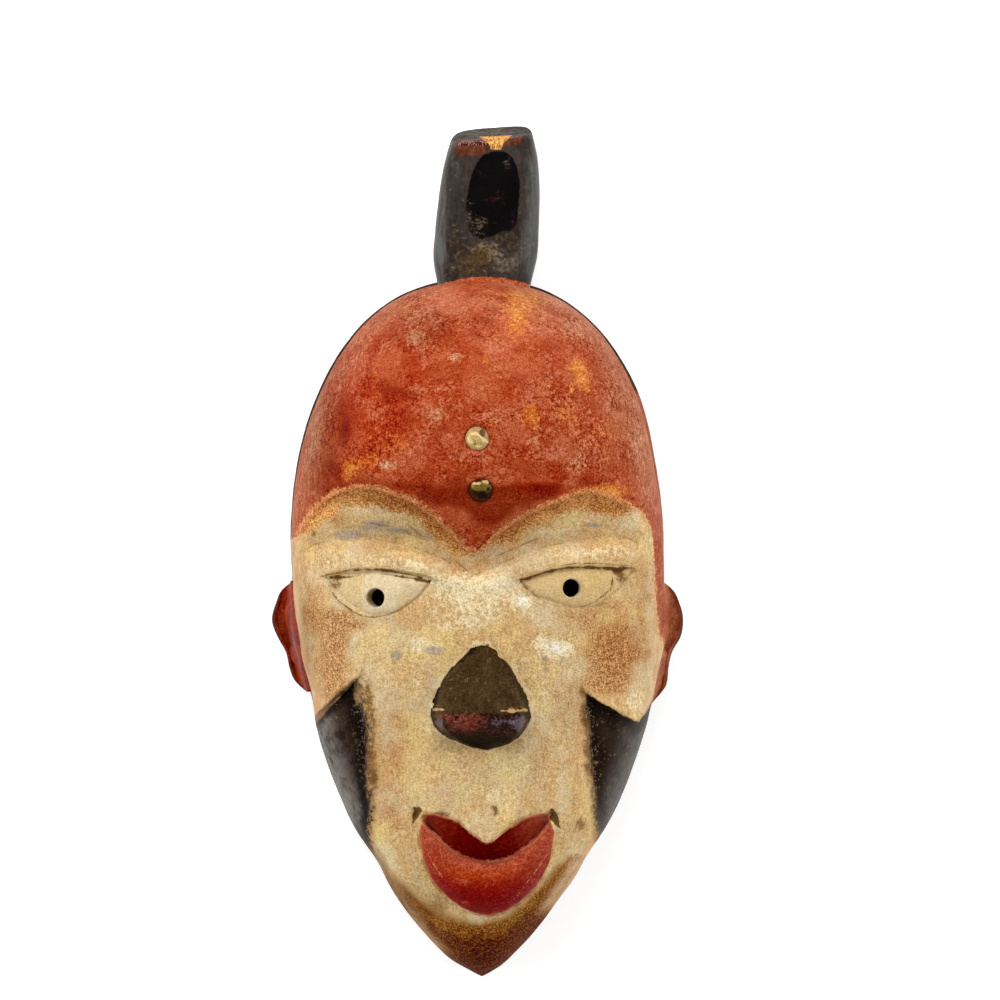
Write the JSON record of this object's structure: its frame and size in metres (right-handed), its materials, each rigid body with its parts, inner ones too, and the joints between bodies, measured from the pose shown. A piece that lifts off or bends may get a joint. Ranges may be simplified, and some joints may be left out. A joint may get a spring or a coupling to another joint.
{
  "type": "carved wooden mask",
  "caption": "Hollow carved and painted wooden face mask with a domed forehead, wedge nose, pursed mouth, ears and a post-like crest, lying face up on its back rim.",
  "frame": {"origin": "middle of the footprint, on the surface the back rim lies on", "axes": "+X across the face, +Y up the face towards the crest, +Z out through the face"},
  "size_m": [0.1712, 0.3554, 0.1124],
  "materials": {
    "painted_wood": "carved, painted red, cream and black, rubbed and stained, satin",
    "tack_brass": "dented and tarnished"
  },
  "bodies": {
    "root": {"mask_body": "painted_wood", "upper_tack": "tack_brass", "lower_tack": "tack_brass"}
  },
  "joints": []
}
